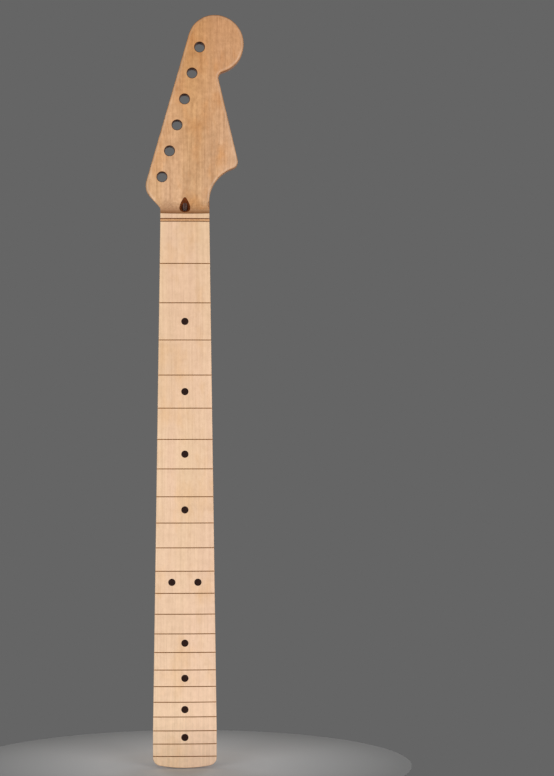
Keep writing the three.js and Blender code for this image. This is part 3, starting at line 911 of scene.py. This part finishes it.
nut_radius = 3.95 * mm
thread_radius = 2.48 * mm
socket_across_flats = 4.76 * mm
socket_radius = socket_across_flats / 2 / math.cos(math.pi / 6)
socket_drill_radius = 0.9 * thread_radius
socket_mouth_depth = 0.4 * mm
socket_overcut = 0.02 * mm
nut_chamfer = 0.5 * mm
nut_profile = [
    *chamfered_ring(thread_radius, nut_radius, nut_chamfer, nut_length),
    (nut_socket_depth, thread_radius),
    (nut_socket_depth, socket_drill_radius),
    (socket_mouth_depth, socket_drill_radius),
]
rod_nut = piece(
    "rod_adjuster_nut",
    turned(nut_profile, 48, access_point(nut_start), -to_mouth, bored=True),
    bright_steel,
)
hex_end = nut_socket_depth + socket_overcut
hex_socket = bar(socket_radius, -overrun, hex_end, access_point(nut_start), -to_mouth, 6)
cut(rod_nut, [hex_socket], bright_steel)
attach(rod_nut, "adjuster")
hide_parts("truss_rod_nut")


# Anchor. A round steel bar set into the back of the heel, which the rod's far end screws into.
# Its turned end shows at the foot of the stripe, just below the wood.

anchor_steel = steel("anchor_steel", colour(107, 83, 62), (300, 300, 300))
# Each is (depth in the turned end, radius) in millimetres.
face_rings = [
    (0.25, 0),  # the mark of the centre drill
    (0.25, 0.9),
    (0.1, 1.1),
    (0.1, 2.2),
    (0.22, 2.35),  # the inner ring
    (0.1, 2.5),
    (0.1, 3.7),
    (0.22, 3.85),  # the outer ring
    (0, 4),
    (0, 4.5),
]
anchor_chamfer = 0.25 * mm
anchor_profile = [(along * mm, radius * mm) for along, radius in face_rings]
anchor_profile += [(anchor_chamfer, anchor_radius), (anchor_length, anchor_radius), (anchor_length, 0)]
anchor = piece(
    "rod_anchor",
    turned(anchor_profile, 48, (0, -seat_gap, anchor_z), (0, -1, 0)),
    anchor_steel,
)
rod_end = rod_points[-1]
rod_way = (rod_points[-5] - rod_end).normalized()  # along its last stretch
in_anchor = rod_end + rod_past_anchor * rod_way
cut(anchor, [bar(thread_radius, -anchor_length, anchor_length, in_anchor, rod_way, 32)], anchor_steel)
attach(anchor, "neck")
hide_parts("truss_rod_anchor")


# Skunk stripe. A fillet of walnut glued over the rod in the channel, round at its top end,
# then carved flush with the back.

def walnut_wood(name, light, dark, scale, gloss=0.0):
    """Walnut with its open grain in streaks, polished where it has a gloss."""
    material, tree, shader = new_material(name)
    place = node(tree, "TexCoord").outputs["Object"]
    grain = stretched_noise(tree, place, scale, 5, 0.65)
    mottle = stretched_noise(tree, place, (120, 120, 45), 3, 0.6, 2.0)
    base = ramp(tree, grain, (0.3, dark), (0.72, light))
    base = blend(tree, "MULTIPLY", 1.0, base, ramp(tree, mottle, (0.3, 0.78), (0.7, 1.0)))
    tree.links.new(base, shader.inputs["Base Color"])
    rough = ramp(tree, grain, (0.3, 0.7 - gloss), (0.7, 0.55 - gloss))
    tree.links.new(rough, shader.inputs["Roughness"])
    shader.inputs["Specular IOR Level"].default_value = 0.12 + gloss
    bump = node(tree, "Bump", {"Height": grain, "Strength": 0.35, "Distance": 0.08 * mm})
    tree.links.new(bump.outputs[0], shader.inputs["Normal"])
    return material


stripe_walnut = walnut_wood("stripe_walnut", colour(144, 95, 65), colour(98, 57, 36), (900, 900, 26))


def stripe_front(x, z, depth):
    """The stripe's inner face follows the rod."""
    return rod_y(z) + rod_radius + seat_gap


def stripe_back(x, z, depth):
    """The stripe's outer face lies flush with the carved back round it."""
    return shaft_back(x, z, shaft_wall.find_nearest(Vector((x, 0, z)))[3])


stripe = piece(
    "walnut_stripe",
    skin(wall_round(channel_path(glue_gap)), 12, channel_heights(glue_gap), stripe_front, stripe_back),
    stripe_walnut,
)
cut(stripe, [anchor_hole(2 * seat_gap)], stripe_walnut)
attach(stripe, "neck")
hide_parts("skunk_stripe")


# Fretboard. A slab of straight-grained maple glued to the shaft, crowned from side to side and
# a little rolled at its edges. The fret slots, the nut slot and the dot holes are cut into it.

board_maple = maple(
    "board_maple",
    tones=(colour(240, 208, 173), colour(239, 203, 175), colour(232, 189, 143)),
    tint=(0.95, 0.91, 0.84, 1),
    tint_heights=(heel_end_z, nut_z),
    ring_tone=colour(208, 160, 120),
    side_painted_shade=(0.8, 0.76, 0.72, 1),
    endgrain_and_painted_shade=(0.66, 0.43, 0.23, 1),
    pith=(-150 * mm, -60 * mm),
    ring_spacing=2.4 * mm,
    contrast=0.44,
    heel_contrast=1.0,
    figure=0.6,
    rim_highlight=((0.0, 0.0), (1.0, 0.0)),
)
# Dark slot colour: painted shade in the kerfs along the nut slot's edges, and the walls of the hidden dot
# and adjuster holes.
slot_maple = drilled_wood("slot_maple", colour(146, 82, 40), colour(92, 46, 18))
# Partly the sawn wall's own colour and partly painted shade in the fret slots and on their broken edges.
fret_slot_shade_maple = drilled_wood("fret_slot_shade_maple", colour(204, 146, 86), colour(160, 106, 56))
nut_slot_maple = drilled_wood("nut_slot_maple", colour(212, 166, 122), colour(182, 134, 92))
board_end_z = heel_end_z - 6.1 * mm
board_glue_line = 0.01 * mm
board_edge_radius = 0.5 * mm
crown_radius_at_nut = 254 * mm
crown_radius_at_heel = 406.4 * mm
fret_slot_width = 0.6 * mm
fret_slot_depth = 3 * mm
fret_slot_chamfer = 0.1 * mm
nut_slot_width = 3.2 * mm
nut_slot_depth = 2.8 * mm
nut_kerf = 0.55 * mm
nut_kerf_overcut = 0.02 * mm
slot_mouth_overcut = 0.5 * mm
saw_reach = 80 * mm
dot_frets = (3, 5, 7, 9, 12, 15, 17, 19, 21)
dot_radius = 3.175 * mm
dot_thickness = 2 * mm
octave_dot_spacing = 22.7 * mm
side_dot_radius = 1.1 * mm
side_dot_length = 4 * mm
side_dot_below_crown = 3.6 * mm
octave_side_dot_spacing = 6.5 * mm
inlay_gap = 0.03 * mm
under_dot = 0.25 * mm


def crown_fall(x, z):
    """How far the crowned surface has fallen at the sides."""
    share = (nut_z - z) / nut_to_heel_end
    radius = crown_radius_at_nut + share * (crown_radius_at_heel - crown_radius_at_nut)
    return sweep(radius, abs(x))


def board_front(x, z, depth):
    """The crowned playing surface, up to where the slope cuts into it."""
    crowned = crown_y + crown_fall(x, z) + roll(depth, board_edge_radius, board_edge_radius)
    return crowned if z <= slope_foot_z else max(crowned, slope_y(z))


def board_back(x, z, depth):
    """The flat face that is glued to the shaft."""
    return glue_y - board_glue_line


def board_heights():
    """Where the board's sections lie: closest where the slope starts to cut into its crown."""
    board_top_z = slope_glue_z - 2 * board_glue_line
    heights = heel_rows(board_end_z)
    heights += evenly(heights[-1] + 1 * mm, slope_foot_z - 1 * mm, 4 * mm)
    heights += evenly(slope_foot_z - 1 * mm, slope_foot_z, 0.5 * mm)
    heights += evenly(slope_foot_z, slope_foot_z + 0.5 * mm, 0.04 * mm)
    heights += evenly(slope_foot_z + 0.5 * mm, board_top_z, 0.25 * mm)
    return heights + [board_top_z]


def saw_cut(low_z, high_z, depth):
    """A straight cut across the board, down from its crown."""
    bm = bmesh.new()
    bmesh.ops.create_cube(bm, size=1)
    size = Vector((saw_reach, depth + overrun, high_z - low_z))
    middle = Vector((0, crown_y + depth - size.y / 2, (low_z + high_z) / 2))
    bmesh.ops.scale(bm, vec=size, verts=bm.verts[:])
    bmesh.ops.translate(bm, vec=middle, verts=bm.verts[:])
    return bm


def slot_mouth(z):
    """The wedge that breaks both edges of a fret slot, from side to side along the crown."""
    bm = bmesh.new()
    bmesh.ops.create_cube(bm, size=1)
    across = [e for e in bm.edges if abs(e.verts[0].co.x - e.verts[1].co.x) > 0.5]
    bmesh.ops.subdivide_edges(bm, edges=across, cuts=24, use_grid_fill=True)
    for v in bm.verts:
        x = v.co.x * saw_reach
        down = -slot_mouth_overcut if v.co.y < 0 else 1.5 * fret_slot_chamfer
        half = fret_slot_width / 2 + fret_slot_chamfer - down
        v.co = Vector((x, crown_y + crown_fall(x, z) + down, z + math.copysign(half, v.co.z)))
    return bm


def space_middle_z(fret):
    """The middle of the space behind a fret."""
    return nut_z - (fret_distance(fret - 1) + fret_distance(fret)) / 2


dot_spots = {}
side_dot_spots = {}
for fret in dot_frets:
    z = space_middle_z(fret)
    if fret % frets_per_octave:
        dot_spots[f"dot_{fret}"] = (0, z)
        side_dot_spots[f"side_dot_{fret}"] = z
    else:
        dot_spots[f"dot_{fret}_bass"] = (-octave_dot_spacing / 2, z)
        dot_spots[f"dot_{fret}_treble"] = (octave_dot_spacing / 2, z)
        side_dot_spots[f"side_dot_{fret}_upper"] = z + octave_side_dot_spacing / 2
        side_dot_spots[f"side_dot_{fret}_lower"] = z - octave_side_dot_spacing / 2


def disc(radius, thickness, start, axis, proud=0.0):
    """A round inlay or the hole for one, from a surface inwards."""
    return bar(radius, -proud, thickness, start, axis, 40)


def side_dot_start(z):
    """The middle of a side dot's face, on the bass edge of the board."""
    return Vector((-half_width_at(nut_z - z), crown_y + side_dot_below_crown, z))


fretboard = piece(
    "fretboard_wood",
    skin(wall_round(neck_path(board_end_z)), 40, board_heights(), board_front, board_back),
    board_maple,
    slot_maple,
)
cut(fretboard, [saw_cut(nut_z, nut_z + nut_slot_width, nut_slot_depth)], nut_slot_maple)
# Painted shade: two narrow kerfs in the dark slot colour draw the dark lines along both edges of the nut
# slot.
far_kerf_z = nut_z + nut_slot_width - nut_kerf
nut_slot_shade_kerfs = [
    saw_cut(nut_z - nut_kerf_overcut, nut_z + nut_kerf, nut_slot_depth + nut_kerf),
    saw_cut(far_kerf_z, far_kerf_z + nut_kerf + nut_kerf_overcut, nut_slot_depth + nut_kerf),
]
cut(fretboard, nut_slot_shade_kerfs, slot_maple)
fret_heights = [nut_z - fret_distance(fret) for fret in range(1, fret_count + 1)]
half = fret_slot_width / 2
# The slots and their broken edges take the darker slot colour, partly as painted shade.
cut(fretboard, [saw_cut(z - half, z + half, fret_slot_depth) for z in fret_heights], fret_slot_shade_maple)
cut(fretboard, [slot_mouth(z) for z in fret_heights], fret_slot_shade_maple)
dot_holes = [
    disc(dot_radius, dot_thickness + under_dot, (x, crown_y, z), (0, 1, 0), overrun)
    for x, z in dot_spots.values()
]
dot_holes += [
    disc(side_dot_radius, side_dot_length + under_dot, side_dot_start(z), (1, 0, 0), overrun)
    for z in side_dot_spots.values()
]
cut(fretboard, dot_holes, slot_maple)
cut(fretboard, [access_hole()], slot_maple)
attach(fretboard, "neck")
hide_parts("fretboard")


# Plug. A bored dowel of dark walnut glued into the adjuster's hole, then sanded with the slope,
# which cuts it to a teardrop. The key for the nut goes through it.

plug_walnut = walnut_wood("plug_walnut", colour(124, 60, 16), colour(76, 32, 6), (500, 500, 260))
plug_bore_radius = 3.175 * mm
# Painted shade: the bore's wall is walnut painted near black for the shade deep in the hole. Its gloss
# gives the two reflected strokes.
bore_walnut_painted_shade = walnut_wood("bore_walnut_painted_shade", colour(78, 36, 12), colour(46, 18, 4), (500, 500, 260), 0.25)


def slope_cutter():
    """All that stands in front of the slope, as wide as the plug needs."""
    reach = 2 * plug_radius
    bm = bmesh.new()
    first = bm.verts.new((-reach, crown_y, slope_foot_z))
    turn = math.acos((slope_radius - (face_y - crown_y)) / slope_radius)
    centre = (-reach, face_y - slope_radius, slope_foot_z + slope_run)
    swept = bmesh.ops.spin(bm, geom=[first], cent=centre, axis=(1, 0, 0), angle=turn, steps=48)
    far_y, far_z = crown_y - overrun, slope_foot_z + plug_length
    corners = [(face_y, far_z), (far_y, far_z), (far_y, slope_foot_z)]
    chain = [swept["geom_last"][0]] + [bm.verts.new((-reach, y, z)) for y, z in corners] + [first]
    for pair in zip(chain, chain[1:]):
        bm.edges.new(pair)
    side = bmesh.ops.contextual_create(bm, geom=bm.edges[:])["faces"]
    raised = bmesh.ops.extrude_face_region(bm, geom=side, use_keep_orig=True)["geom"]
    far = [v for v in raised if isinstance(v, bmesh.types.BMVert)]
    bmesh.ops.translate(bm, verts=far, vec=(2 * reach, 0, 0))
    bmesh.ops.recalc_face_normals(bm, faces=bm.faces[:])
    return bm


plug = piece("rod_plug", bar(plug_radius, 0, plug_length, access_point(0), to_mouth, 64), plug_walnut)
cut(plug, [slope_cutter()], plug_walnut)
bore = bar(plug_bore_radius, -overrun, plug_length + overrun, access_point(0), to_mouth, 64)
cut(plug, [bore], bore_walnut_painted_shade)
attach(plug, "neck")
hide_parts("truss_rod_plug")


# Position dots. Discs of black-brown clay-like plastic, glued into the board and sanded flush
# with its crown, with small ones along the bass edge for the player.

def dot_plastic(name):
    """Black-brown plastic with a fine mottle."""
    material, tree, shader = new_material(name)
    place = node(tree, "TexCoord").outputs["Object"]
    mottle = stretched_noise(tree, place, (700, 700, 700), 4, 0.6)
    base = ramp(tree, mottle, (0.3, colour(28, 12, 7)), (0.7, colour(44, 22, 14)))
    tree.links.new(base, shader.inputs["Base Color"])
    shader.inputs["Roughness"].default_value = 0.4
    shader.inputs["Specular IOR Level"].default_value = 0.1
    bump = node(tree, "Bump", {"Height": mottle, "Strength": 0.15, "Distance": 0.02 * mm})
    tree.links.new(bump.outputs[0], shader.inputs["Normal"])
    return material


dot_black = dot_plastic("dot_black")
for name, (x, z) in dot_spots.items():
    bm = disc(dot_radius - inlay_gap, dot_thickness, (x, crown_y, z), (0, 1, 0))
    for v in bm.verts:
        v.co.y += crown_fall(v.co.x, v.co.z)
    dot = piece(f"inlay_{name}", bm, dot_black)
    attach(dot, "neck")
    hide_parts(name)
for name, z in side_dot_spots.items():
    bm = disc(side_dot_radius - inlay_gap, side_dot_length, side_dot_start(z), (1, 0, 0))
    dot = piece(f"inlay_{name}", bm, dot_black)
    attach(dot, "neck")
    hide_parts(name)


# Stage. A pale floor, even grey surroundings and two pairs of soft boxes, one in front and one
# behind. The camera stands two metres in front, level with the middle of the neck.

floor_radius = 200 * mm
floor_gap = 0.5 * mm
floor = bpy.data.objects.new("floor", bpy.data.meshes.new("floor"))
bpy.context.scene.collection.objects.link(floor)
bm = bmesh.new()
bmesh.ops.create_circle(bm, cap_ends=True, segments=96, radius=floor_radius)
bmesh.ops.translate(bm, verts=bm.verts[:], vec=(0, 0, cad_box[0].z - floor_gap))
bm.to_mesh(floor.data)
bm.free()
pale_floor, tree, shader = new_material("pale_floor")
place = node(tree, "TexCoord").outputs["Object"]
from_middle = node(tree, "VectorMath", {0: place}, operation="LENGTH").outputs["Value"]
share = calculate(tree, "DIVIDE", from_middle, floor_radius)
# Painted falloff of light: the floor is pale round the neck and painted darker towards its rim, where it
# meets the grey surroundings.
floor_painted_falloff = ramp(tree, share, (0.45, colour(205, 205, 205)), (1.0, colour(142, 142, 142)))
tree.links.new(floor_painted_falloff, shader.inputs["Base Color"])
shader.inputs["Roughness"].default_value = 0.9
floor.data.materials.append(pale_floor)

world = bpy.data.worlds.new("surroundings")
world.use_nodes = True
world.node_tree.nodes["Background"].inputs["Color"].default_value = colour(101, 101, 101)
bpy.context.scene.world = world
bpy.context.scene.view_settings.view_transform = "Standard"

light_distance = 1.9
light_height = 0.2
light_width, light_tall = 1.0, 1.4


def soft_box(name, azimuth, power):
    """A large upright soft light at a turn round the neck, facing it."""
    light = bpy.data.lights.new(name, "AREA")
    light.shape = "RECTANGLE"
    light.size, light.size_y = light_width, light_tall
    light.energy = power
    made = bpy.data.objects.new(name, light)
    bpy.context.scene.collection.objects.link(made)
    turn = math.radians(azimuth)
    away = Vector((math.sin(turn), -math.cos(turn), 0))
    made.location = Vector((0, 0, light_height)) + light_distance * away
    made.rotation_euler = away.to_track_quat("Z", "Y").to_euler()
    made.visible_camera = False


for azimuth, power in ((-30, 22), (30, 22), (150, 21.5), (210, 21.5)):
    soft_box(f"soft_box_{azimuth}", azimuth, power)

camera_distance = 2.0
camera_height = 0.2821
camera_turn = math.radians(-2.3)  # aimed a little to the right of the neck
camera_data = bpy.data.cameras.new("camera")
camera_data.sensor_width = 36
camera_data.lens = 106.4
camera = bpy.data.objects.new("camera", camera_data)
bpy.context.scene.collection.objects.link(camera)
camera.location = (0, crown_y - camera_distance, camera_height)
camera.rotation_euler = (math.radians(90), 0, camera_turn)
bpy.context.scene.camera = camera
